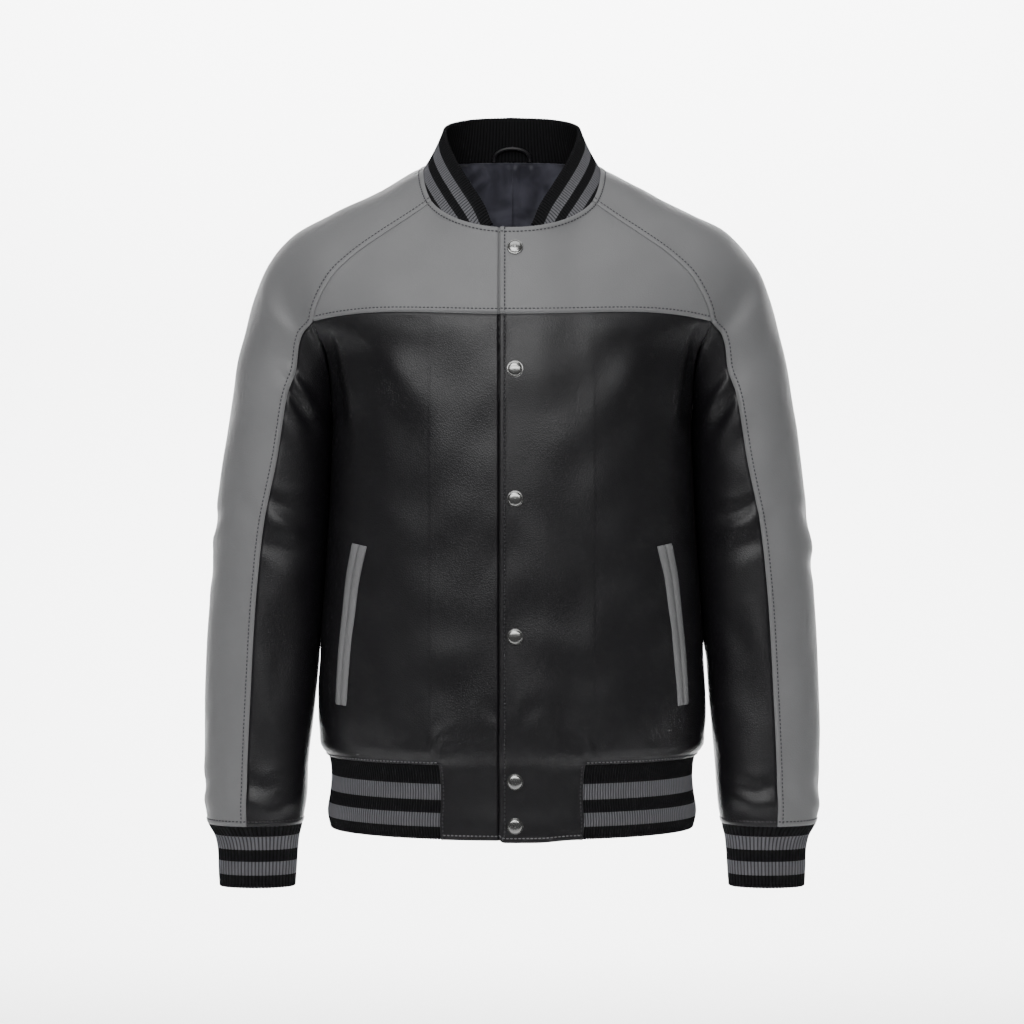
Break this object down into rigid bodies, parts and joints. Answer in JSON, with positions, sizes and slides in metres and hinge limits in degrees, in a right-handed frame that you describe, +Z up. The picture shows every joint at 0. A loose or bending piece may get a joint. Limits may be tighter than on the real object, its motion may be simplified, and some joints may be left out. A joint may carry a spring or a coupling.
{
  "type": "varsity jacket",
  "caption": "Hollow varsity jacket with grey leather yoke and raglan sleeves, black leather body, striped rib collar, cuffs and hem, snap front and slanted welt pockets.",
  "frame": {"origin": "middle of the neck opening, level with the tops of the shoulders", "axes": "+Z up, -Y the way the front faces, +X to the wearer's left"},
  "size_m": [0.637, 0.262, 0.8061],
  "materials": {
    "grey_leather": "pebbled",
    "black_leather": "pebbled",
    "rib_knit": "rib knit",
    "lining": "satin",
    "snap_metal": "polished"
  },
  "bodies": {
    "root": {"front_yoke_left": "grey_leather", "front_yoke_right": "grey_leather", "front_left": "black_leather", "front_right": "black_leather", "back_yoke": "grey_leather", "back": "black_leather", "sleeve_front_left": "grey_leather", "sleeve_front_right": "grey_leather", "sleeve_back_left": "grey_leather", "sleeve_back_right": "grey_leather", "sleeve_under_left": "black_leather", "sleeve_under_right": "black_leather", "lining_back_left": "lining", "lining_back_right": "lining", "collar_rib": "rib_knit", "hem_rib": "rib_knit", "cuff_rib_left": "rib_knit", "cuff_rib_right": "rib_knit", "pocket_welt_inner_left": "grey_leather", "pocket_welt_outer_left": "grey_leather", "pocket_welt_inner_right": "grey_leather", "pocket_welt_outer_right": "grey_leather", "snap_1": "snap_metal", "snap_2": "snap_metal", "snap_3": "snap_metal", "snap_4": "snap_metal", "snap_5": "snap_metal", "snap_6": "snap_metal", "hanging_loop": "black_leather"}
  },
  "joints": []
}
